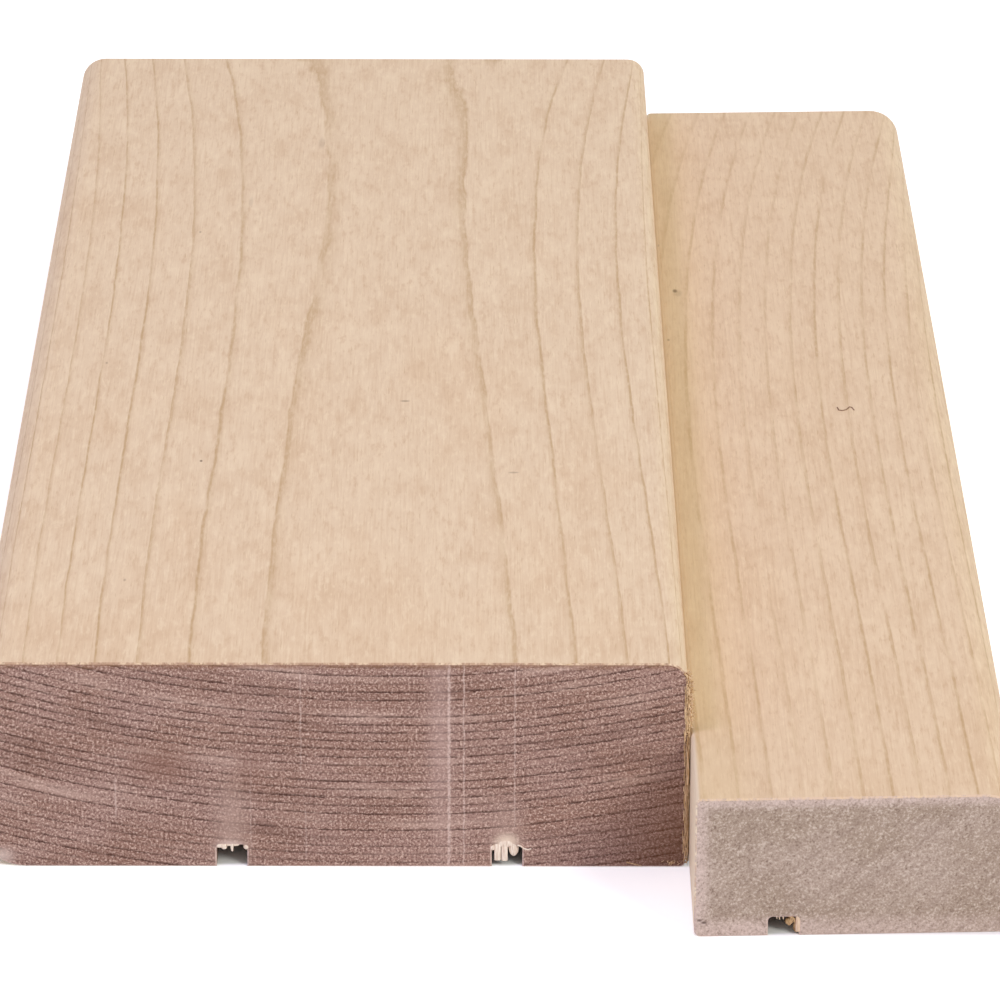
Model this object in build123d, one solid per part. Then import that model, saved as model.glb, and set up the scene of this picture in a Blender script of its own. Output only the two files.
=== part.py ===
"""Stepped door threshold of two hardwood boards that lie side by side.

The high board is the doorway's tread. The low board butts against it and makes the step that the
door leaf shuts over. Both are planed strips with eased long edges and relief grooves sawn along
the underside. Units are millimetres. +X runs from the high board to the low board, +Y along the
boards and +Z up. The origin lies on the floor under the middle of the pair.
"""
import os
from math import radians, tan

from build123d import *

# High board
HIGH_WIDTH = 95.0
HIGH_THICKNESS = 30.0
HIGH_LENGTH = 250.0
HIGH_OUTER_TOP_ROUND = 4.0
HIGH_INNER_TOP_ROUND = 2.8
HIGH_OUTER_FOOT_ROUND = 6.3
HIGH_INNER_FOOT_ROUND = 0.8
HIGH_OUTER_GROOVE_INSET = 34.0
HIGH_INNER_GROOVE_INSET = 24.0
HIGH_GROOVE_DEPTH = 3.2

# Low board
LOW_WIDTH = 43.0
LOW_THICKNESS = 20.0
LOW_LENGTH = 272.0
LOW_INNER_TOP_ROUND = 0.8
LOW_OUTER_TOP_ROUND = 5.0
LOW_FOOT_ROUND = 1.0
LOW_GROOVE_INSET = 11.8
LOW_GROOVE_DEPTH = 2.7
LOW_END_SKEW_DEG = 2.3

# How the two boards lie together
JOINT_GAP = 0.5
LOW_FRONT_LEAD = 21.0

# The saw that cut every relief groove
GROOVE_WIDTH = 4.1
GROOVE_CORNER_ROUND = 0.6


def relief_groove(centre, depth):
    """Outline of one groove, open to the underside, with its two upper corners rounded."""
    outline = Pos(centre, depth / 2) * Rectangle(GROOVE_WIDTH, depth)
    return fillet(outline.vertices().group_by(Axis.Y)[-1], GROOVE_CORNER_ROUND)


def planed_section(width, thickness, foot_rounds, top_rounds):
    """Cross-section of a board that stands on the floor from x = 0 to x = width.

    foot_rounds and top_rounds are pairs of edge radii, at x = 0 and at x = width.
    """
    section = Pos(width / 2, thickness / 2) * Rectangle(width, thickness)
    for height, edge_rounds in ((0, foot_rounds), (thickness, top_rounds)):
        for x, radius in zip((0, width), edge_rounds):
            corner = section.vertices().sort_by_distance((x, height, 0))[0]
            section = fillet(corner, radius)
    return section


def lengthwise(section, start, length):
    """Runs a cross-section along +Y from start."""
    start_plane = Plane((0, start, 0), x_dir=(1, 0, 0), z_dir=(0, -1, 0))
    return extrude(start_plane * section, amount=length, dir=(0, 1, 0))


def make_high_board():
    """The thick tread board, with both ends sawn square."""
    section = planed_section(
        HIGH_WIDTH,
        HIGH_THICKNESS,
        foot_rounds=(HIGH_OUTER_FOOT_ROUND, HIGH_INNER_FOOT_ROUND),
        top_rounds=(HIGH_OUTER_TOP_ROUND, HIGH_INNER_TOP_ROUND),
    )
    for centre in (HIGH_OUTER_GROOVE_INSET, HIGH_WIDTH - HIGH_INNER_GROOVE_INSET):
        section -= relief_groove(centre, HIGH_GROOVE_DEPTH)
    return lengthwise(section, 0, HIGH_LENGTH)


def make_low_board():
    """The thin board beside it, with both ends sawn a little out of square."""
    section = planed_section(
        LOW_WIDTH,
        LOW_THICKNESS,
        foot_rounds=(LOW_FOOT_ROUND, LOW_FOOT_ROUND),
        top_rounds=(LOW_INNER_TOP_ROUND, LOW_OUTER_TOP_ROUND),
    )
    section -= relief_groove(LOW_GROOVE_INSET, LOW_GROOVE_DEPTH)
    saw_waste = LOW_WIDTH
    board = lengthwise(section, -saw_waste, LOW_LENGTH + 2 * saw_waste)
    end_normal = (-tan(radians(LOW_END_SKEW_DEG)), 1, 0)
    board = split(board, bisect_by=Plane((0, 0, 0), z_dir=end_normal), keep=Keep.TOP)
    board = split(board, bisect_by=Plane((0, LOW_LENGTH, 0), z_dir=end_normal), keep=Keep.BOTTOM)
    return Pos(HIGH_WIDTH + JOINT_GAP, -LOW_FRONT_LEAD, 0) * board


high_board = make_high_board()
low_board = make_low_board()
pair_box = high_board.bounding_box().add(low_board.bounding_box())
to_origin = Pos(-pair_box.center().X, -pair_box.center().Y, -pair_box.min.Z)

os.makedirs("parts", exist_ok=True)
export_step(to_origin * high_board, "parts/high_board.step")
export_step(to_origin * low_board, "parts/low_board.step")
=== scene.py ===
from math import radians
from random import Random

import bmesh
import bpy
from mathutils import Matrix, Vector


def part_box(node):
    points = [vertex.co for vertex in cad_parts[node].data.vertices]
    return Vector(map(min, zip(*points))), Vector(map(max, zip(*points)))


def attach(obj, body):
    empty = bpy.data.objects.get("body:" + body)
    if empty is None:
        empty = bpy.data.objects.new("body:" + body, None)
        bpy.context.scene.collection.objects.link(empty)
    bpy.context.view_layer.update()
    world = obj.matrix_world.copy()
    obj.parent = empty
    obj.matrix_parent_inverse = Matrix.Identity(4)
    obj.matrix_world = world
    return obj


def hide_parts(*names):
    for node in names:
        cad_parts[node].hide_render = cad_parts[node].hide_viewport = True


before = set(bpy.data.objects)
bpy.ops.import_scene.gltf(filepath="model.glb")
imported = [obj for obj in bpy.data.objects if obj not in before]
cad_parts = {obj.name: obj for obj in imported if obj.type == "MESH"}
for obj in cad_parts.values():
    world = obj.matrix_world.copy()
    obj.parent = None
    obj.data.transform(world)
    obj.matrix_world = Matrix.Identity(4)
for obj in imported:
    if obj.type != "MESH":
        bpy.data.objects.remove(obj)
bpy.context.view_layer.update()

MM = 0.001

# High board
# The thick tread of the threshold: one planed hardwood board, sawn square at both ends. Its long
# edges are rounded with a cutter, and two relief grooves are sawn along its underside.
high_start, high_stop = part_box("high_board")
HIGH_OUTER_TOP_ROUND = 4.0 * MM
HIGH_INNER_TOP_ROUND = 2.8 * MM
HIGH_OUTER_FOOT_ROUND = 6.3 * MM
HIGH_INNER_FOOT_ROUND = 0.8 * MM
HIGH_OUTER_GROOVE = high_start.x + 34.0 * MM
HIGH_INNER_GROOVE = high_stop.x - 24.0 * MM
HIGH_GROOVE_DEPTH = 3.2 * MM
GROOVE_WIDTH = 4.1 * MM
GROOVE_ROUND = 0.6 * MM
SAWN_ARRIS = 0.22 * MM
NEAR = 0.01 * MM


def groove_corners(centre, depth):
    """The four corners that one relief groove adds to the underside, from -X to +X."""
    left, right = centre - GROOVE_WIDTH / 2, centre + GROOVE_WIDTH / 2
    return [(left, 0.0), (left, depth), (right, depth), (right, 0.0)]


def sawn_board(name, start, stop, grooves, rounds, skew=0.0):
    """A board run from its cross-section, with rounded long edges and lightly broken sawn ends.

    rounds lists (x, z, radius, facets) for each long edge, and skew is how far the ends lean back
    for each metre across.
    """
    section = [(start.x, 0.0)]
    for centre, depth in grooves:
        section += groove_corners(centre, depth)
    section += [(stop.x, 0.0), (stop.x, stop.z), (start.x, stop.z)]
    front, back = start.y, stop.y - skew * (stop.x - start.x)
    bm = bmesh.new()
    end = bm.faces.new([bm.verts.new((x, front, z)) for x, z in section])
    run = bmesh.ops.extrude_face_region(bm, geom=[end])
    far = [v for v in run["geom"] if isinstance(v, bmesh.types.BMVert)]
    bmesh.ops.translate(bm, verts=far, vec=(0, back - front, 0))
    for centre, depth in grooves:
        for side in (-0.5, 0.5):
            rounds = rounds + [(centre + side * GROOVE_WIDTH, depth, GROOVE_ROUND, 4)]
    for x, z, radius, facets in rounds:
        edges = [e for e in bm.edges if all(abs(v.co.x - x) + abs(v.co.z - z) < NEAR for v in e.verts)]
        bmesh.ops.bevel(bm, geom=edges, offset=radius, segments=facets, profile=0.5,
                        affect='EDGES', material=-1)
    for y in (front, back):
        edges = [e for e in bm.edges if all(abs(v.co.y - y) < NEAR for v in e.verts)]
        bmesh.ops.bevel(bm, geom=edges, offset=SAWN_ARRIS, segments=1, profile=0.5,
                        affect='EDGES', material=-1)
    lean = Matrix.Identity(4)
    lean[1][0] = skew
    lean[1][3] = -skew * start.x
    bmesh.ops.transform(bm, matrix=lean, verts=bm.verts)
    bmesh.ops.recalc_face_normals(bm, faces=bm.faces)
    mesh = bpy.data.meshes.new(name)
    bm.to_mesh(mesh)
    bm.free()
    mesh.shade_smooth()
    mesh.set_sharp_from_angle(angle=radians(30))
    board = bpy.data.objects.new(name, mesh)
    bpy.context.scene.collection.objects.link(board)
    return board


def tint(red, green, blue):
    """A colour read as 0 to 255 screen values, as the shader's linear colour."""
    screen = [c / 255 for c in (red, green, blue)]
    return [c / 12.92 if c <= 0.04045 else ((c + 0.055) / 1.055) ** 2.4 for c in screen] + [1.0]


def add(tree, kind, sockets, **settings):
    """Adds a node, and sets each of its sockets or links it to another node's output."""
    made = tree.nodes.new(kind)
    for key, value in settings.items():
        setattr(made, key, value)
    for key, value in sockets.items():
        if isinstance(value, bpy.types.NodeSocket):
            tree.links.new(value, made.inputs[key])
        else:
            made.inputs[key].default_value = value
    return made


def sums(tree, operation, *terms):
    """One Math node."""
    return add(tree, "ShaderNodeMath", dict(enumerate(terms)), operation=operation).outputs[0]


def ease(tree, value, low, high, start=0.0, stop=1.0):
    """A smooth step from start to stop as value goes from low to high."""
    sockets = {"Value": value, "From Min": low, "From Max": high, "To Min": start, "To Max": stop}
    made = add(tree, "ShaderNodeMapRange", sockets, interpolation_type='SMOOTHSTEP')
    return made.outputs["Result"]


def mingle(tree, share, first, second):
    """Mixes two colours."""
    made = add(tree, "ShaderNodeMix", {0: share, 6: first, 7: second}, data_type='RGBA')
    return made.outputs[2]


def cloud(tree, place, size, detail=2.0, rough=0.5, turn=0.0):
    """Noise whose patches are about size millimetres across, along, and through the board.

    turn leans the patches over on the board's ends.
    """
    sockets = {0: place, 2: (0.0, turn, 0.0), 3: size}
    shrunk = add(tree, "ShaderNodeMapping", sockets, vector_type='TEXTURE').outputs[0]
    sockets = {"Vector": shrunk, "Scale": 1.0, "Detail": detail, "Roughness": rough}
    return add(tree, "ShaderNodeTexNoise", sockets).outputs[0]


def cubic(tree, share, curve):
    """The curve c1, c2, c3 as c1 s + c2 s2 + c3 s3."""
    inner = sums(tree, 'MULTIPLY_ADD', share, curve[2], curve[1])
    inner = sums(tree, 'MULTIPLY_ADD', inner, share, curve[0])
    return sums(tree, 'MULTIPLY', inner, share)


def layered(tree, colour, tones, layers):
    """Lays tones over a colour.

    layers lists (pattern, low, high, share, tone): the tone comes in as the pattern goes from low to
    high, up to its share.
    """
    for pattern, low, high, share, tone in layers:
        colour = mingle(tree, ease(tree, pattern, low, high, 0.0, share), colour, tones[tone])
    return colour


def growth_rings(tree, place, heart, ring_width, first_ring, sway, bow, outer_bow, bulges=()):
    """Counts growth rings outwards from the tree's heart, which runs along above the board.

    sway and bow are the heart's sideways and downward curves along the board, and outer_bow is
    the extra bow of the rings that surface well to the side of it. bulges lists (point, reach,
    solid, rings) where the rings swell or dip about a point.
    """
    across, along, up = add(tree, "ShaderNodeSeparateXYZ", {0: place}).outputs
    share = sums(tree, 'DIVIDE', along, 250.0)
    side = sums(tree, 'SUBTRACT', sums(tree, 'SUBTRACT', across, heart[0]), cubic(tree, share, sway))
    outer = ease(tree, sums(tree, 'ABSOLUTE', side), 10.0, 26.0)
    dip = sums(tree, 'MULTIPLY_ADD', outer, cubic(tree, share, outer_bow), cubic(tree, share, bow))
    drop = sums(tree, 'SUBTRACT', sums(tree, 'SUBTRACT', heart[1], up), dip)
    square = sums(tree, 'MULTIPLY_ADD', side, side, sums(tree, 'MULTIPLY', drop, drop))
    count = sums(tree, 'DIVIDE', sums(tree, 'SUBTRACT', sums(tree, 'SQRT', square), first_ring), ring_width)
    for point, reach, solid, extra in bulges:
        count = sums(tree, 'MULTIPLY_ADD', near_point(tree, place, point, reach, solid), extra, count)
    for size, reach in (((30, 70, 30), 0.06), ((6, 16, 6), 0.10), ((1.1, 5.0, 1.1), 0.045)):
        stray = sums(tree, 'SUBTRACT', cloud(tree, place, size), 0.5)
        count = sums(tree, 'MULTIPLY_ADD', stray, reach, count)
    return count


def ring_mood(tree, rings):
    """A strength for each growth ring, because some years leave a darker line."""
    year = sums(tree, 'FLOOR', rings)
    return add(tree, "ShaderNodeTexWhiteNoise", {"W": year}, noise_dimensions='1D').outputs[0]


def long_grain(tree, place, rings, tones, line_strength, line_start, faint, far_share, kept=()):
    """Colour and height of the planed faces: thin late-wood lines, fibre streaks and pale flecks.

    A line begins at line_start of each ring. The higher faint is, the more of it fades away along
    the board, and far_share is how strong the lines still are at the far end. kept lists (point,
    reach) where the lines don't fade.
    """
    phase = sums(tree, 'FRACT', rings)
    fade = ease(tree, cloud(tree, place, (2.2, 20, 2.2), 3), faint, faint + 0.36)
    fade = sums(tree, 'MULTIPLY', fade, ease(tree, ring_mood(tree, rings), -1.0, 0.8))
    for point, reach in kept:
        held = sums(tree, 'MULTIPLY', near_point(tree, place, point, reach), 0.75)
        fade = sums(tree, 'MAXIMUM', fade, held)
    dashes = cloud(tree, place, (0.5, 2.2, 0.5), 2)
    fade = sums(tree, 'MULTIPLY', fade, ease(tree, dashes, 0.25, 0.60, 0.45, 1.0))
    along = add(tree, "ShaderNodeSeparateXYZ", {0: place}).outputs[1]
    fade = sums(tree, 'MULTIPLY', fade, ease(tree, along, 90.0, 240.0, 1.0, far_share))
    darkest = 0.52 + 0.5 * line_start
    line_end = 0.4 * (1.0 - line_start)
    thin = sums(tree, 'MAXIMUM', ease(tree, phase, line_start, darkest), ease(tree, phase, line_end, 0.0))
    soft = sums(tree, 'MULTIPLY', ease(tree, phase, 2.0 * line_start - 1.0, 0.98), 0.42)
    line = sums(tree, 'MULTIPLY', sums(tree, 'MAXIMUM', thin, soft), fade)
    streaks = cloud(tree, place, (0.28, 11, 0.28), 2, 0.6)
    mottle = cloud(tree, place, (0.8, 3.6, 0.8), 3, 0.65)
    flecks = cloud(tree, place, (0.20, 4, 0.20), 1)
    patches = cloud(tree, place, (12, 40, 12), 3, 0.55)
    blotches = cloud(tree, place, (5, 14, 5), 3, 0.65)
    warmth = sums(tree, 'MULTIPLY_ADD', along, -0.0012, patches)
    colour = mingle(tree, ease(tree, warmth, 0.3, 0.7), tones["pale"], tones["warm"])
    colour = layered(tree, colour, tones, (
        (blotches, 0.50, 0.70, 0.40, "fleck"), (blotches, 0.50, 0.32, 0.40, "fibre"),
        (mottle, 0.52, 0.70, 0.55, "fleck"), (mottle, 0.48, 0.30, 0.60, "fibre"),
        (streaks, 0.52, 0.68, 0.30, "fleck"), (streaks, 0.48, 0.32, 0.34, "fibre"),
        (flecks, 0.64, 0.74, 0.55, "fleck"), (flecks, 0.33, 0.24, 0.30, "late"),
    ))
    colour = mingle(tree, sums(tree, 'MULTIPLY', line, line_strength), colour, tones["late"])
    return colour, streaks


def end_grain(tree, place, rings, tones, line_strength, mottling):
    """Colour and height of the sawn ends: speckled pores between broken dark ring lines.

    mottling is how much of the speckle runs together into slanting patches. Paler and darker bands
    follow the rings, as strong as the lines are.
    """
    teeth = sums(tree, 'SUBTRACT', cloud(tree, place, (0.40, 9, 0.40), 2), 0.5)
    phase = sums(tree, 'FRACT', sums(tree, 'MULTIPLY_ADD', teeth, 0.42, rings))
    line = ease(tree, phase, 0.60, 0.90)
    line = sums(tree, 'MULTIPLY', line, ease(tree, phase, 1.0, 0.94))
    line = sums(tree, 'MULTIPLY', line, ease(tree, ring_mood(tree, rings), -0.6, 0.8))
    line = sums(tree, 'MULTIPLY', line, ease(tree, cloud(tree, place, (2.2, 9, 0.5), 2), 0.25, 0.60))
    speckle = cloud(tree, place, (0.33, 9, 0.33), 2, 0.8)
    slants = cloud(tree, place, (1.3, 9, 0.60), 3, 0.75, radians(-38))
    grain = sums(tree, 'MULTIPLY_ADD', sums(tree, 'SUBTRACT', slants, speckle), mottling, speckle)
    patches = cloud(tree, place, (12, 60, 7), 2)
    across = add(tree, "ShaderNodeSeparateXYZ", {0: place}).outputs[0]
    along_rings = add(tree, "ShaderNodeCombineXYZ", {0: across, 1: 0.0, 2: rings}).outputs[0]
    bands = cloud(tree, along_rings, (24, 9, 2.2), 3, 0.6)
    colour = mingle(tree, ease(tree, patches, 0.32, 0.68), tones["end"], tones["end_dark"])
    colour = layered(tree, colour, tones, (
        (grain, 0.50, 0.64, 0.92, "end_pale"), (grain, 0.48, 0.34, 0.90, "end_pore"),
        (bands, 0.52, 0.70, 0.36 * line_strength, "end_pale"),
        (bands, 0.48, 0.30, 0.32 * line_strength, "end_pore"),
    ))
    colour = mingle(tree, sums(tree, 'MULTIPLY', line, line_strength), colour, tones["end_ring"])
    return colour, grain


def millimetres_from(tree, corner):
    """Object coordinates in millimetres across, along and up from one corner of a board."""
    coords = add(tree, "ShaderNodeTexCoord", {})
    sockets = {0: coords.outputs["Object"], 1: -corner / MM, 3: (1 / MM,) * 3}
    return add(tree, "ShaderNodeMapping", sockets).outputs[0], coords.outputs["Normal"]


def near_point(tree, place, point, reach, solid=0.6):
    """One inside an egg of the given reaches about a point, falling to nothing at its rim."""
    shift = [-p / r for p, r in zip(point, reach)]
    sockets = {0: place, 1: shift, 3: [1 / r for r in reach]}
    local = add(tree, "ShaderNodeMapping", sockets).outputs[0]
    away = add(tree, "ShaderNodeVectorMath", {0: local}, operation='LENGTH').outputs["Value"]
    return ease(tree, away, 1.0, solid)


def marked(tree, place, colour, marks, solid):
    """Stains a colour. marks lists (point, reach, share, tone) for each egg-shaped stain."""
    for point, reach, share, tone in marks:
        stain = sums(tree, 'MULTIPLY', near_point(tree, place, point, reach, solid), share)
        colour = mingle(tree, stain, colour, tone)
    return colour


def shade_painted_groove(tree, place, face, centre, depth):
    """Paints shade onto the walls and roof of one relief groove, whose centre is given across the board: a
    dark brown stands in for the shade inside it.
    """
    across, _, up = add(tree, "ShaderNodeSeparateXYZ", {0: place}).outputs
    from_middle = sums(tree, 'ABSOLUTE', sums(tree, 'SUBTRACT', across, centre))
    half_width = GROOVE_WIDTH / MM / 2
    inside = sums(tree, 'MULTIPLY', ease(tree, from_middle, half_width + 0.07, half_width + 0.02),
                  ease(tree, up, depth / MM + 0.10, depth / MM + 0.02, 0.0, 0.8))
    return mingle(tree, inside, face, tint(104, 72, 56))


def dress_wood(tree, place, normal, faces, ends, arris_colour, thickness):
    """Puts face grain on the planed sides, end grain on the sawn ends and torn fibre on the top arris."""
    shader = tree.nodes["Principled BSDF"]
    lean = sums(tree, 'ABSOLUTE', add(tree, "ShaderNodeSeparateXYZ", {0: normal}).outputs[1])
    up = add(tree, "ShaderNodeSeparateXYZ", {0: place}).outputs[2]
    sawn = ease(tree, lean, 0.30, 0.55)
    flat = ease(tree, lean, 0.84, 0.94)
    arris = sums(tree, 'MULTIPLY', sawn, sums(tree, 'SUBTRACT', 1.0, flat))
    ragged = cloud(tree, place, (0.6, 9, 0.5), 3, 0.75)
    arris = sums(tree, 'MULTIPLY', arris, ease(tree, ragged, 0.36, 0.56, 0.25, 0.95))
    lip = ease(tree, sums(tree, 'MULTIPLY_ADD', ragged, 1.1, up), thickness + 0.05, thickness + 0.70)
    end_colour = mingle(tree, sums(tree, 'MULTIPLY', lip, 0.50), ends[0], arris_colour)
    colour = mingle(tree, sawn, faces[0], end_colour)
    chips = cloud(tree, place, (1.6, 9, 1.6), 3, 0.7)
    rim_colour = mingle(tree, ease(tree, chips, 0.44, 0.58), arris_colour, faces[0])
    rim_colour = mingle(tree, ease(tree, up, 6.0, 3.0), rim_colour, tint(214, 188, 178))
    colour = mingle(tree, arris, colour, rim_colour)
    tree.links.new(colour, shader.inputs["Base Color"])
    height = sums(tree, 'MULTIPLY_ADD', sums(tree, 'SUBTRACT', ends[1], faces[1]), sawn, faces[1])
    depth = ease(tree, lean, 0.84, 0.94, 0.35, 1.0)
    bump = add(tree, "ShaderNodeBump", {"Strength": depth, "Distance": 0.06 * MM, "Height": height})
    tree.links.new(bump.outputs[0], shader.inputs["Normal"])
    rough = ease(tree, lean, 0.84, 0.94, 0.60, 0.90)
    tree.links.new(rough, shader.inputs["Roughness"])
    shader.inputs["Specular IOR Level"].default_value = 0.25


high_tones = {
    "pale": tint(229, 203, 172), "warm": tint(226, 197, 164), "fleck": tint(241, 218, 186),
    "fibre": tint(213, 181, 147), "late": tint(178, 140, 88),
    "end": tint(160, 127, 117), "end_dark": tint(150, 115, 102), "end_pale": tint(218, 188, 174),
    "end_pore": tint(92, 62, 53), "end_ring": tint(68, 41, 34), "arris": tint(190, 155, 128),
}
high_board = sawn_board(
    "high_board_wood_piece", high_start, high_stop,
    [(HIGH_OUTER_GROOVE, HIGH_GROOVE_DEPTH), (HIGH_INNER_GROOVE, HIGH_GROOVE_DEPTH)],
    [(high_start.x, 0.0, HIGH_OUTER_FOOT_ROUND, 10), (high_stop.x, 0.0, HIGH_INNER_FOOT_ROUND, 4),
     (high_start.x, high_stop.z, HIGH_OUTER_TOP_ROUND, 10),
     (high_stop.x, high_stop.z, HIGH_INNER_TOP_ROUND, 9)],
)
high_wood = bpy.data.materials.new("high_board_wood")
high_wood.use_nodes = True
high_tree = high_wood.node_tree
high_place, high_normal = millimetres_from(high_tree, high_start)
high_rings = growth_rings(high_tree, high_place, heart=(54.37, 195.0), ring_width=1.196,
                          first_ring=165.81, sway=(-5.16, 2.78, 0.76), bow=(0.22, -3.10, 2.54),
                          outer_bow=(-0.53, -0.57, 2.07),
                          bulges=(((68, 100, 30), (14, 190, 60), 0.6, -0.12),
                                  ((62, 256, 30), (12, 52, 60), 0.0, 0.17),
                                  ((41, 90, 30), (9, 130, 60), 0.6, 0.07),
                                  ((26, 255, 30), (9, 90, 60), 0.0, 0.17)))
high_end, high_end_height = end_grain(high_tree, high_place, high_rings, high_tones,
                                      line_strength=0.86, mottling=0.10)
high_across, _, high_up = add(high_tree, "ShaderNodeSeparateXYZ", {0: high_place}).outputs
# Pale wood rays stand upright on the ends, a little wavy and broken
ray_wave = cloud(high_tree, high_place, (9, 9, 1.3), 2)
ray_breaks = ease(high_tree, cloud(high_tree, high_place, (3, 9, 0.9), 3, 0.7), 0.34, 0.56, 0.30, 1.0)
ray_breaks = sums(high_tree, 'MULTIPLY', ray_breaks, ease(high_tree, high_end_height, 0.30, 0.55, 0.35, 1.0))
for across, half_width, foot, head, share in (
    (63.2, 0.18, -1.0, 31.0, 0.75), (65.2, 0.09, -1.0, 31.0, 0.60), (72.0, 0.09, 6.0, 31.0, 0.50),
    (18.5, 0.12, 7.5, 13.0, 0.45), (43.4, 0.10, 14.0, 29.0, 0.40), (36.6, 0.09, 3.0, 16.0, 0.30),
    (44.0, 0.09, 1.0, 9.0, 0.35),
):
    middle = sums(high_tree, 'MULTIPLY_ADD', ray_wave, 0.55, across - 0.275)
    from_ray = sums(high_tree, 'ABSOLUTE', sums(high_tree, 'SUBTRACT', high_across, middle))
    ray = ease(high_tree, from_ray, half_width + 0.09, half_width - 0.09, 0.0, share)
    ray = sums(high_tree, 'MULTIPLY', ray, ray_breaks)
    ray = sums(high_tree, 'MULTIPLY', ray, ease(high_tree, high_up, foot - 1.0, foot + 1.0))
    ray = sums(high_tree, 'MULTIPLY', ray, ease(high_tree, high_up, head + 1.0, head - 1.0))
    high_end = mingle(high_tree, ray, high_end, tint(226, 200, 190))
# Pale haze and torn wood over the grooves, then a pale band, a painted shadow of the low board over the
# lower right corner, the stains and the worn outer foot
pale_haze = tint(190, 162, 150)
red_stain = tint(134, 96, 82)
high_end = marked(high_tree, high_place, high_end, (
    ((34.0, 0, 3.0), (4.0, 900, 17.0), 0.50, pale_haze),
    ((71.0, 0, 4.0), (4.0, 900, 9.0), 0.40, pale_haze),
    ((70.9, 0, 3.7), (2.4, 900, 1.9), 0.90, tint(236, 214, 194)),
    ((33.8, 0, 3.2), (2.9, 900, 1.1), 0.80, tint(214, 190, 182)),
    ((62.0, 0, 20.0), (2.6, 900, 30.0), 0.40, tint(196, 166, 158)),
    # Painted shadow: dark brown over the lower right corner, where the low board shades the end
    ((98.0, 0, 2.0), (20.0, 900, 22.0), 0.64, tint(104, 66, 30)),
    ((24.5, 0, 15.0), (7.0, 900, 4.0), 0.50, red_stain),
    ((36.5, 0, 14.5), (3.5, 900, 4.5), 0.35, red_stain),
    ((3.0, 0, 1.6), (2.8, 900, 2.0), 0.70, tint(214, 192, 182)),
), solid=0.0)
frayed = sums(high_tree, 'MULTIPLY_ADD', cloud(high_tree, high_place, (2.5, 9, 0.8), 3, 0.7), 1.8, high_up)
high_end = mingle(high_tree, ease(high_tree, frayed, 29.8, 30.7, 0.0, 0.50), high_end, tint(142, 102, 72))
high_face, high_face_height = long_grain(
    high_tree, high_place, high_rings, high_tones, line_strength=0.62, line_start=0.92, faint=0.20,
    far_share=0.85, kept=[((74.0, 5.0, 30.0), (5.0, 62.0, 10.0))])
# Dark specks, two short scratches and two smudges on the top
speck = tint(92, 66, 46)
high_face = marked(high_tree, high_place, high_face, (
    ((27.4, 70.7, 30.0), (0.28, 0.55, 2.0), 0.75, speck),
    ((18.7, 27.8, 30.0), (0.25, 0.6, 2.0), 0.35, speck),
    ((11.8, 109.0, 30.0), (0.25, 0.6, 2.0), 0.35, speck),
    ((23.4, 165.2, 30.0), (0.25, 0.6, 2.0), 0.35, speck),
    ((56.3, 93.9, 30.0), (0.95, 0.50, 2.0), 0.45, speck),
    ((72.1, 66.5, 30.0), (1.0, 0.45, 2.0), 0.35, speck),
    ((41.5, 207.0, 30.0), (0.8, 3.6, 2.0), 0.16, speck),
    ((30.9, 179.0, 30.0), (0.5, 3.0, 2.0), 0.14, speck),
), solid=0.3)
# Painted shade inside both grooves of the high board
for groove in (HIGH_OUTER_GROOVE, HIGH_INNER_GROOVE):
    inset = (groove - high_start.x) / MM
    high_face = shade_painted_groove(high_tree, high_place, high_face, inset, HIGH_GROOVE_DEPTH)
dress_wood(high_tree, high_place, high_normal, (high_face, high_face_height),
           (high_end, high_end_height), high_tones["arris"], thickness=30.0)
high_board.data.materials.append(high_wood)
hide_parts("high_board")
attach(high_board, "root")

# Low board
# The thinner board that butts against the tread and makes the step. It is planed from the same
# hardwood, with one relief groove underneath, and both its ends are sawn a little out of square.
low_start, low_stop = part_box("low_board")
LOW_INNER_TOP_ROUND = 0.8 * MM
LOW_OUTER_TOP_ROUND = 5.0 * MM
LOW_FOOT_ROUND = 1.0 * MM
LOW_GROOVE_INSET = 11.8 * MM
LOW_GROOVE = low_start.x + LOW_GROOVE_INSET
LOW_GROOVE_DEPTH = 2.7 * MM
LOW_FRONT_LEAD = 21.0 * MM
# The tangent of 2.3 degrees
LOW_END_SKEW = 0.04016
low_tones = {
    "pale": tint(228, 200, 168), "warm": tint(224, 194, 160), "fleck": tint(239, 214, 181),
    "fibre": tint(210, 177, 142), "late": tint(176, 139, 86),
    "end": tint(178, 157, 144), "end_dark": tint(165, 144, 128), "end_pale": tint(208, 190, 177),
    "end_pore": tint(128, 106, 93), "end_ring": tint(140, 117, 105), "arris": tint(220, 190, 164),
}
low_board = sawn_board(
    "low_board_wood_piece", low_start, low_stop, [(LOW_GROOVE, LOW_GROOVE_DEPTH)],
    [(low_start.x, 0.0, LOW_FOOT_ROUND, 5), (low_stop.x, 0.0, LOW_FOOT_ROUND, 5),
     (low_start.x, low_stop.z, LOW_INNER_TOP_ROUND, 5), (low_stop.x, low_stop.z, LOW_OUTER_TOP_ROUND, 10)],
    LOW_END_SKEW,
)
low_wood = bpy.data.materials.new("low_board_wood")
low_wood.use_nodes = True
low_tree = low_wood.node_tree
low_place, low_normal = millimetres_from(low_tree, low_start + Vector((0, LOW_FRONT_LEAD, 0)))
low_rings = growth_rings(low_tree, low_place, heart=(-73.0, 125.0), ring_width=2.6,
                         first_ring=141.46, sway=(-5.36, -8.98, 22.2), bow=(0.0, 0.0, 0.0),
                         outer_bow=(0.0, 0.0, 0.0))
low_end, low_end_height = end_grain(low_tree, low_place, low_rings, low_tones,
                                    line_strength=0.35, mottling=0.30)
low_across, _, low_up = add(low_tree, "ShaderNodeSeparateXYZ", {0: low_place}).outputs
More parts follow.
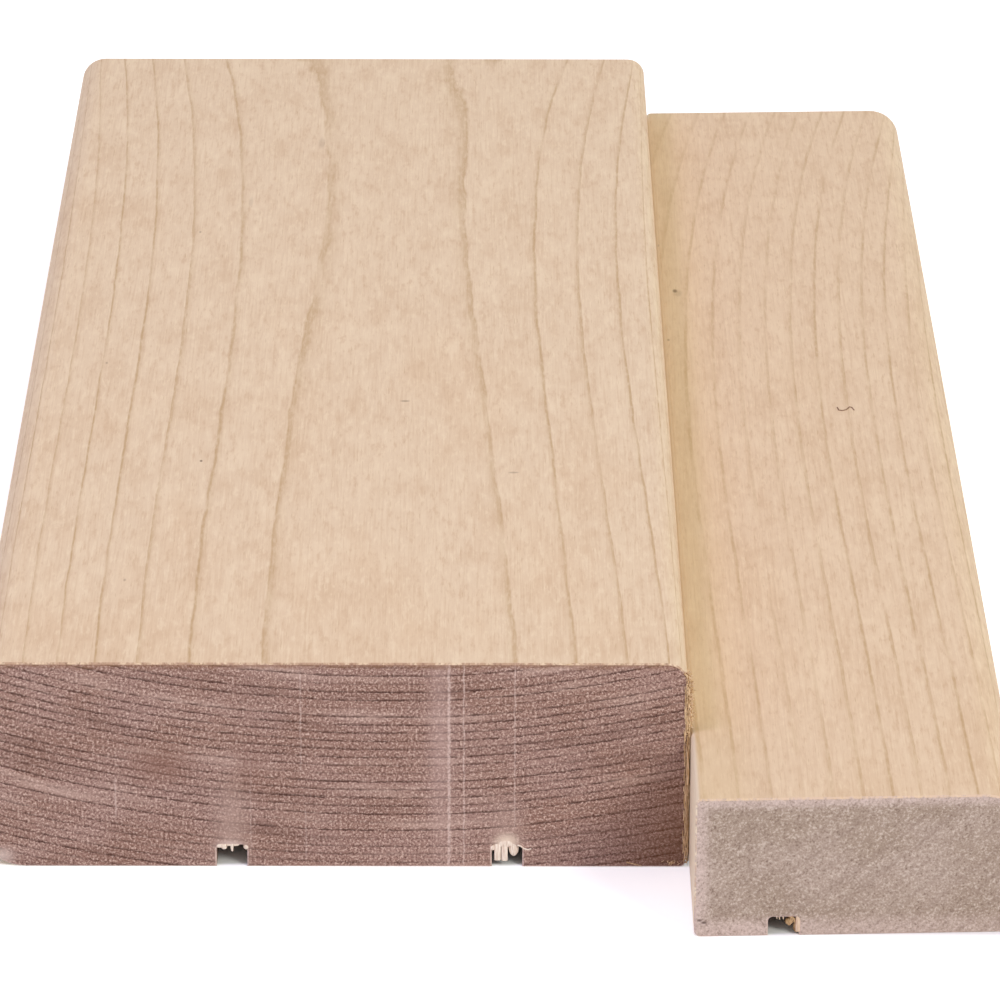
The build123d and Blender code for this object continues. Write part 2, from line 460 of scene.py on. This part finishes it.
# A paler rim along the foot, the top and the inner side of the ends, with two dark nicks at its corner
foot_fade = ease(low_tree, low_across, 8.0, 30.0, 1.0, 0.5)
rim = sums(low_tree, 'MULTIPLY', ease(low_tree, low_up, 3.6, 1.2), foot_fade)
rim = sums(low_tree, 'MAXIMUM', rim, ease(low_tree, low_up, 18.0, 19.6))
rim = sums(low_tree, 'MAXIMUM', rim, ease(low_tree, low_across, 2.6, 0.6))
rim = sums(low_tree, 'MULTIPLY', rim, ease(low_tree, low_end_height, 0.30, 0.60, 0.20, 0.60))
low_end = mingle(low_tree, rim, low_end, tint(222, 198, 191))
nick = tint(90, 72, 66)
low_end = marked(low_tree, low_place, low_end, (
    ((0.75, 0, 2.45), (0.50, 900, 0.30), 0.8, nick), ((1.30, 0, 2.10), (0.55, 900, 0.28), 0.8, nick),
), solid=0.2)
low_face, low_face_height = long_grain(
    low_tree, low_place, low_rings, low_tones, line_strength=0.56, line_start=0.86, faint=0.28,
    far_share=0.75)
# Dark specks on the top beside the high board
speck = tint(84, 58, 38)
low_face = marked(low_tree, low_place, low_face, (
    ((2.5, 165.8, 20.0), (0.48, 1.05, 2.0), 0.95, speck),
    ((2.9, 164.8, 20.0), (1.0, 2.0, 2.0), 0.22, speck),
    ((0.4, 186.6, 20.0), (0.25, 0.8, 2.0), 0.60, speck),
    ((0.9, 144.5, 20.0), (0.30, 0.6, 2.0), 0.55, speck),
), solid=0.3)
# Painted shade inside the low board's groove
low_face = shade_painted_groove(low_tree, low_place, low_face, LOW_GROOVE_INSET / MM, LOW_GROOVE_DEPTH)
# Painted shade: a yellower band on the top beside the high board stands in for the warm shade and bounce
# light under its step.
step_shade_paint = ease(low_tree, low_across, 10.0, 2.0, 0.0, 0.30)
low_face = mingle(low_tree, step_shade_paint, low_face, tint(227, 200, 152))
# Painted light: the inner side and its rounding are made paler, standing in for light that the high board
# keeps off them
facing = add(low_tree, "ShaderNodeSeparateXYZ", {0: low_normal}).outputs[0]
inner_side_light_paint = ease(low_tree, facing, -0.15, -0.7, 0.0, 0.7)
low_face = mingle(low_tree, inner_side_light_paint, low_face, tint(255, 240, 214))
dress_wood(low_tree, low_place, low_normal, (low_face, low_face_height),
           (low_end, low_end_height), low_tones["arris"], thickness=20.0)
low_board.data.materials.append(low_wood)
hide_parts("low_board")
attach(low_board, "root")

# Torn fibres in the high board's grooves
# Where the saw came out of the end it left splinters, flakes and a curl of wood hanging in the
# mouths of the two grooves. They are the board's own wood, torn and paler than the sawn end.
def plate(bm, low, high):
    """A flat splinter between two corners, with its edges softened."""
    size = [abs(b - a) for a, b in zip(low, high)]
    middle = [(a + b) / 2 for a, b in zip(low, high)]
    form = Matrix.Translation(middle) @ Matrix.Diagonal((*size, 1.0))
    made = bmesh.ops.create_cube(bm, size=1.0, matrix=form)
    edges = list({e for v in made["verts"] for e in v.link_edges})
    bmesh.ops.bevel(bm, geom=edges, offset=min(size) * 0.3, segments=2, profile=0.5,
                    affect='EDGES', material=-1)


def flake(bm, middle, reach):
    """A rounded crumb of wood."""
    form = Matrix.Translation(middle) @ Matrix.Diagonal((*reach, 1.0))
    bmesh.ops.create_uvsphere(bm, u_segments=14, v_segments=9, radius=1.0, matrix=form)


def thread(bm, path, root, tip):
    """A fibre along a path of points, thinning from the root's radius to the tip's."""
    thickness = [root + (tip - root) * i / (len(path) - 1) for i in range(len(path))]
    for i in range(len(path) - 1):
        reach = path[i + 1] - path[i]
        turn = Vector((0, 0, 1)).rotation_difference(reach).to_matrix().to_4x4()
        form = Matrix.Translation((path[i] + path[i + 1]) / 2) @ turn
        bmesh.ops.create_cone(bm, cap_ends=True, segments=6, radius1=thickness[i],
                              radius2=thickness[i + 1], depth=reach.length * 1.04, matrix=form)


def torn_piece(bm, name, paint):
    """Finishes a piece of torn wood, measured in millimetres from the frame's origin."""
    bmesh.ops.scale(bm, vec=(MM, MM, MM), verts=bm.verts)
    bmesh.ops.recalc_face_normals(bm, faces=bm.faces)
    mesh = bpy.data.meshes.new(name)
    bm.to_mesh(mesh)
    bm.free()
    mesh.shade_smooth()
    mesh.set_sharp_from_angle(angle=radians(50))
    mesh.materials.append(paint)
    piece = bpy.data.objects.new(name, mesh)
    bpy.context.scene.collection.objects.link(piece)
    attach(piece, "root")
    return piece


def torn_wood(name, pale, dark):
    """Pale torn wood with fine streaks down the splinters."""
    paint = bpy.data.materials.new(name)
    paint.use_nodes = True
    tree = paint.node_tree
    place, _ = millimetres_from(tree, Vector((0, 0, 0)))
    streaks = cloud(tree, place, (0.18, 0.5, 1.6), 2)
    colour = mingle(tree, ease(tree, streaks, 0.35, 0.62), dark, pale)
    tree.links.new(colour, tree.nodes["Principled BSDF"].inputs["Base Color"])
    tree.nodes["Principled BSDF"].inputs["Roughness"].default_value = 0.8
    return paint


high_front = high_start.y / MM
outer_groove, inner_groove = HIGH_OUTER_GROOVE / MM, HIGH_INNER_GROOVE / MM
bm = bmesh.new()
plate(bm, (outer_groove - 2.10, high_front, 2.75), (outer_groove - 0.70, high_front + 1.8, 3.40))
flake(bm, (outer_groove - 1.05, high_front + 0.4, 2.75), (0.40, 0.4, 0.30))
flake(bm, (outer_groove + 0.45, high_front + 0.3, 3.25), (0.60, 0.3, 0.30))
splinter = ((0.05, 3.4), (0.0, 2.7), (0.06, 2.2))
thread(bm, [Vector((outer_groove + dx, high_front + 0.30, z)) for dx, z in splinter], 0.30, 0.12)
flake(bm, (outer_groove - 0.45, high_front + 0.5, 3.25), (0.50, 0.5, 0.35))
flake(bm, (outer_groove + 1.95, high_front + 0.4, 2.9), (0.45, 0.5, 0.45))
plate(bm, (inner_groove - 1.72, high_front, 0.90), (inner_groove - 0.84, high_front + 0.5, 3.55))
plate(bm, (inner_groove - 0.76, high_front + 0.05, 0.80), (inner_groove + 0.08, high_front + 0.6, 3.70))
flake(bm, (inner_groove + 0.90, high_front + 0.7, 2.75), (0.72, 0.65, 1.40))
flake(bm, (inner_groove - 1.98, high_front + 0.22, 2.85), (0.42, 0.26, 0.48))
flake(bm, (inner_groove - 0.20, high_front + 0.20, 3.50), (1.60, 0.26, 0.60))
wisp = ((1.4, 3.3), (1.9, 3.1), (2.3, 2.75), (2.8, 2.62), (3.25, 2.75))
thread(bm, [Vector((inner_groove + dx, high_front - 0.03, z)) for dx, z in wisp], 0.12, 0.07)
high_torn_wood = torn_wood("high_torn_wood", tint(248, 232, 216), tint(222, 198, 180))
torn_piece(bm, "high_board_torn_fibres", high_torn_wood)

# Torn fibres in the low board's groove
# The same saw tore the groove of the low board: one pale splinter stands at its right side, with a
# browner curl of torn wood beside it and short fringes along the top.
low_groove = LOW_GROOVE / MM
low_front = (low_start.y + LOW_END_SKEW * LOW_GROOVE_INSET) / MM
bm = bmesh.new()
plate(bm, (low_groove + 1.62, low_front + 0.12, 0.45), (low_groove + 2.28, low_front + 0.7, 3.05))
for dx, tip_height in ((-0.95, 2.35), (-0.60, 2.20), (-0.10, 2.25)):
    root = Vector((low_groove + dx, low_front + 0.35, 2.9))
    thread(bm, [root, Vector((low_groove + dx + 0.1, low_front + 0.4, tip_height))], 0.16, 0.05)
low_torn_wood = torn_wood("low_torn_wood", tint(244, 222, 200), tint(214, 182, 154))
torn_piece(bm, "low_board_torn_fibres", low_torn_wood)
bm = bmesh.new()
curl = ((0.45, 2.85), (0.95, 2.65), (1.30, 2.30), (1.52, 1.80))
thread(bm, [Vector((low_groove + dx, low_front + 0.5, z)) for dx, z in curl], 0.22, 0.16)
tongue = ((1.35, 2.40), (1.05, 1.90), (0.65, 1.35))
thread(bm, [Vector((low_groove + dx, low_front + 0.8, z)) for dx, z in tongue], 0.42, 0.30)
flake(bm, (low_groove + 0.75, low_front + 0.9, 1.75), (0.55, 0.45, 0.50))
flake(bm, (low_groove + 1.75, low_front + 0.9, 0.95), (0.45, 0.5, 0.85))
low_curl_wood = torn_wood("low_curl_wood", tint(206, 170, 128), tint(150, 112, 72))
torn_piece(bm, "low_board_torn_curl", low_curl_wood)

# Fuzz on the high board's inner arris
# The saw left a fringe of loose fibres down the front corner beside the low board, with one long
# splinter halfway up. They stand in the gap between the boards and just in front of it.
arris_x = high_stop.x / MM
SIDE_FIBRES = 150
GAP_FIBRES = 260
GAP_REACH = 0.42
CURLS = 90
FOOT_FIBRES = 14
FRONT_FIBRES = 150
chance = Random(17)
bm = bmesh.new()
# Short fibres that stick out of the corner
for i in range(SIDE_FIBRES):
    z = 0.4 + 27.0 * (i + chance.random()) / SIDE_FIBRES
    root = Vector((arris_x - 0.10, high_front - 0.02 + 0.6 * chance.random(), z))
    out = Vector((0.30 + 0.30 * chance.random(), -0.40 * chance.random(), 0.9 * chance.uniform(-1, 1)))
    bend = Vector((0.10 * chance.random(), -0.25 * chance.random(), 0.8 * chance.uniform(-1, 1)))
    tip = root + out * 0.55 + bend
    tip.x = min(tip.x, arris_x + GAP_REACH)
    thread(bm, [root, root + out * 0.5, tip], 0.075, 0.03)
# Upright fibres in the gap between the boards
for i in range(GAP_FIBRES):
    z = 0.3 + 24.5 * (i + chance.random()) / GAP_FIBRES
    foot = Vector((arris_x + 0.04 + 0.38 * chance.random(), high_front + 2.0 * chance.random(), z))
    rise = Vector((0.12 * chance.uniform(-1, 1), -0.2 * chance.random(), 1.0 + 1.8 * chance.random()))
    middle = foot + rise * 0.5 + Vector((0.03 * chance.uniform(-1, 1), 0.0, 0.0))
    for point in (middle, foot):
        point.x = min(point.x, arris_x + GAP_REACH)
    tip = foot + rise
    tip.x = min(max(tip.x, arris_x), arris_x + GAP_REACH)
    tip.z = min(tip.z, 27.5)
    thread(bm, [foot, middle, tip], 0.065, 0.03)
# The long splinter
splinter = ((0.05, 0.05, 17.2), (0.16, 0.22, 15.4), (0.22, 0.30, 13.6), (0.12, 0.22, 12.4))
thread(bm, [Vector((arris_x + dx, high_front - dy, z)) for dx, dy, z in splinter], 0.13, 0.16)
# Curls at the top of the corner, rooted along its rounding
corner_round = HIGH_INNER_TOP_ROUND / MM
round_start = 30.0 - corner_round
for i in range(CURLS):
    z = 21.5 + 7.2 * (i + chance.random()) / CURLS
    inset = corner_round - (corner_round ** 2 - max(z - round_start, 0.0) ** 2) ** 0.5
    root = Vector((arris_x - inset - 0.15, high_front + 0.5 * chance.random(), z))
    path, heading = [root], Vector((1.0, -0.5 * chance.random(), chance.uniform(-1, 1)))
    bend = chance.uniform(-1.0, 1.0)
    for j in range(5):
        path.append(path[-1] + heading.normalized() * (0.16 + 0.16 * chance.random()))
        heading = heading + Vector((-0.5 * abs(bend), -0.1, 0.9 * bend))
    thread(bm, path, 0.13, 0.05)
# Wisps along the foot of the corner
for i in range(FOOT_FIBRES):
    root = Vector((arris_x - 0.8 - 2.4 * chance.random(), high_front - 0.02, 0.25 + 0.6 * chance.random()))
    reach = Vector((0.9 * chance.uniform(-0.4, 1), -0.12 * chance.random(), 0.5 * chance.uniform(-0.3, 1)))
    thread(bm, [root, root + reach * 0.5, root + reach], 0.05, 0.02)
wisp = ((-7.9, 0.75), (-6.8, 0.45), (-5.9, 0.25))
thread(bm, [Vector((arris_x + dx, high_front - 0.05, z)) for dx, z in wisp], 0.09, 0.04)
# Upright fibres in front of the corner
for i in range(FRONT_FIBRES):
    z = 0.8 + 25.5 * (i + chance.random()) / FRONT_FIBRES
    foot = Vector((arris_x - 0.40 + 0.55 * chance.random(), high_front - 0.03 - 0.12 * chance.random(), z))
    rise = Vector((0.14 * chance.uniform(-1, 1), -0.10 * chance.random(), 0.5 + 1.1 * chance.random()))
    thread(bm, [foot, foot + rise * 0.5, foot + rise], 0.06, 0.03)
fuzz_wood = torn_wood("fuzz_wood", tint(232, 202, 164), tint(186, 148, 104))
torn_piece(bm, "high_board_arris_fuzz", fuzz_wood)

# Loose fibre on the low board
# A single hair-thin shaving of wood, curled like a hook. It isn't fixed, and only lies on the low
# board's top.
loose_x = low_start.x / MM
loose_y = (low_start.y + LOW_FRONT_LEAD) / MM
hook = ((25.54, 116.5), (25.72, 115.4), (26.22, 115.2), (26.87, 115.6), (27.39, 116.7), (27.73, 116.5),
        (28.02, 115.4))
bm = bmesh.new()
thread(bm, [Vector((loose_x + dx, loose_y + dy, 20.04)) for dx, dy in hook], 0.10, 0.09)
loose_wood = torn_wood("loose_wood", tint(150, 120, 96), tint(132, 102, 80))
torn_piece(bm, "low_board_loose_fibre", loose_wood)

# Floor
# A plain white table top that the boards lie on, wide enough to fill every view. It looks white to
# the camera, keeps the boards' shadow, and gives no light of its own underneath them.
bm = bmesh.new()
bmesh.ops.create_grid(bm, x_segments=1, y_segments=1, size=6.0)
floor_mesh = bpy.data.meshes.new("floor")
bm.to_mesh(floor_mesh)
bm.free()
floor = bpy.data.objects.new("floor", floor_mesh)
bpy.context.scene.collection.objects.link(floor)
floor_paint = bpy.data.materials.new("floor_paint")
floor_paint.use_nodes = True
floor_shader = floor_paint.node_tree.nodes["Principled BSDF"]
floor_shader.inputs["Base Color"].default_value = (0.92, 0.92, 0.92, 1.0)
floor_shader.inputs["Emission Color"].default_value = (1.0, 1.0, 1.0, 1.0)
floor_tree = floor_paint.node_tree
rays = add(floor_tree, "ShaderNodeLightPath", {}).outputs
seen = sums(floor_tree, 'MAXIMUM', rays["Is Camera Ray"], rays["Is Glossy Ray"])
seen = sums(floor_tree, 'MAXIMUM', seen, rays["Is Transmission Ray"])
glow = sums(floor_tree, 'MULTIPLY', seen, 0.42)
for corner, far_corner in ((high_start, high_stop), (low_start, low_stop)):
    middle, reach = (corner + far_corner) / 2, (far_corner - corner) / 2
    spread = add(floor_tree, "ShaderNodeTexCoord", {}).outputs["Object"]
    shift = (-middle.x / reach.x, -middle.y / reach.y, 0)
    sockets = {0: spread, 1: shift, 3: (1 / reach.x, 1 / reach.y, 0)}
    local = add(floor_tree, "ShaderNodeMapping", sockets).outputs[0]
    across, along, _ = add(floor_tree, "ShaderNodeSeparateXYZ", {0: local}).outputs
    outside = sums(floor_tree, 'MAXIMUM', sums(floor_tree, 'ABSOLUTE', across),
                   sums(floor_tree, 'ABSOLUTE', along))
    glow = sums(floor_tree, 'MULTIPLY', glow, ease(floor_tree, outside, 0.99, 1.0))
floor_tree.links.new(glow, floor_shader.inputs["Emission Strength"])
floor_shader.inputs["Roughness"].default_value = 0.9
floor_shader.inputs["Specular IOR Level"].default_value = 0.0
floor_mesh.materials.append(floor_paint)

# Studio light
# A pale surround fills the shadows. Two soft boxes stand above left and above right: the left one is
# small and violet, and the right one is larger and nearly white.
world = bpy.data.worlds.new("studio")
world.use_nodes = True
world.node_tree.nodes["Background"].inputs[0].default_value = (1.0, 1.0, 1.0, 1.0)
world.node_tree.nodes["Background"].inputs[1].default_value = 0.66
bpy.context.scene.world = world
for name, place, size, watts, colour in (
    ("left_softbox", Vector((-0.65, -0.47, 1.24)), 0.36, 4.4, (0.72, 0.58, 1.0)),
    ("right_softbox", Vector((1.13, -1.28, 1.20)), 0.60, 15.4, (0.98, 1.02, 0.94)),
):
    lamp = bpy.data.lights.new(name, 'AREA')
    lamp.size = size
    lamp.energy = watts
    lamp.color = colour
    softbox = bpy.data.objects.new(name, lamp)
    softbox.location = place
    softbox.rotation_euler = (-place).to_track_quat('-Z', 'Y').to_euler()
    bpy.context.scene.collection.objects.link(softbox)

# Camera
# It stands in front of the sawn ends and looks down along the boards through a long lens. Its place
# and turn were fitted to the edges of the boards in the photo.
CAMERA_PLACE = Vector((-2.12, -883.43, 374.33)) * MM
CAMERA_DOWN = radians(22.681)
CAMERA_TURN = radians(0.2085)
CAMERA_ROLL = radians(0.158)
camera_data = bpy.data.cameras.new("camera")
camera_data.sensor_width = 36.0
camera_data.lens = 227.95
camera_data.clip_end = 20.0
camera = bpy.data.objects.new("camera", camera_data)
camera.matrix_world = (
    Matrix.Translation(CAMERA_PLACE)
    @ Matrix.Rotation(-CAMERA_TURN, 4, 'Z')
    @ Matrix.Rotation(radians(90) - CAMERA_DOWN, 4, 'X')
    @ Matrix.Rotation(CAMERA_ROLL, 4, 'Z')
)
bpy.context.scene.collection.objects.link(camera)
bpy.context.scene.camera = camera
bpy.context.scene.view_settings.view_transform = 'Standard'
